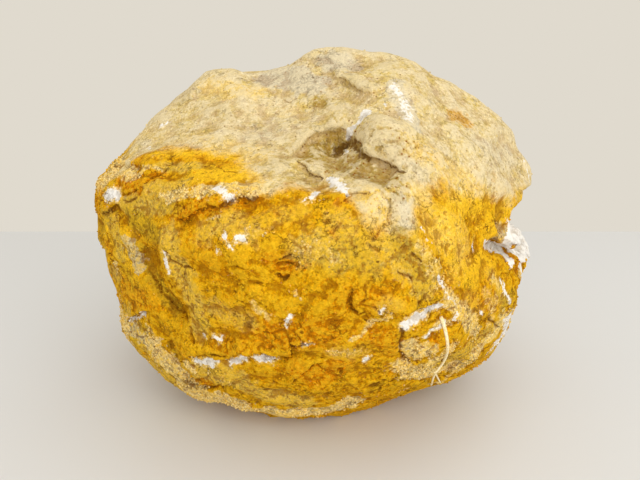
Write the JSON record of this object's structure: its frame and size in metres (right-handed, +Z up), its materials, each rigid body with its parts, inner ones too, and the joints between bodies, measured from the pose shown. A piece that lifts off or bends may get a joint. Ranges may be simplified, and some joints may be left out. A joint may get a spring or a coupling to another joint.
{
  "type": "quartz geode",
  "caption": "Whole uncut quartz geode, a rough ochre-stained boulder with a pale crown and a broken notch that bares white quartz.",
  "frame": {"origin": "middle of the stone's bounding box in plan, on the flat that it rests on", "axes": "+X along the stone's long side, to the right as the notch is seen from the front; +Y to the back; +Z up"},
  "size_m": [0.2648, 0.222, 0.2088],
  "materials": {
    "stone": "matte, ochre iron stain over pale limestone and white quartz"
  },
  "bodies": {
    "root": {"geode": "stone"}
  },
  "joints": []
}
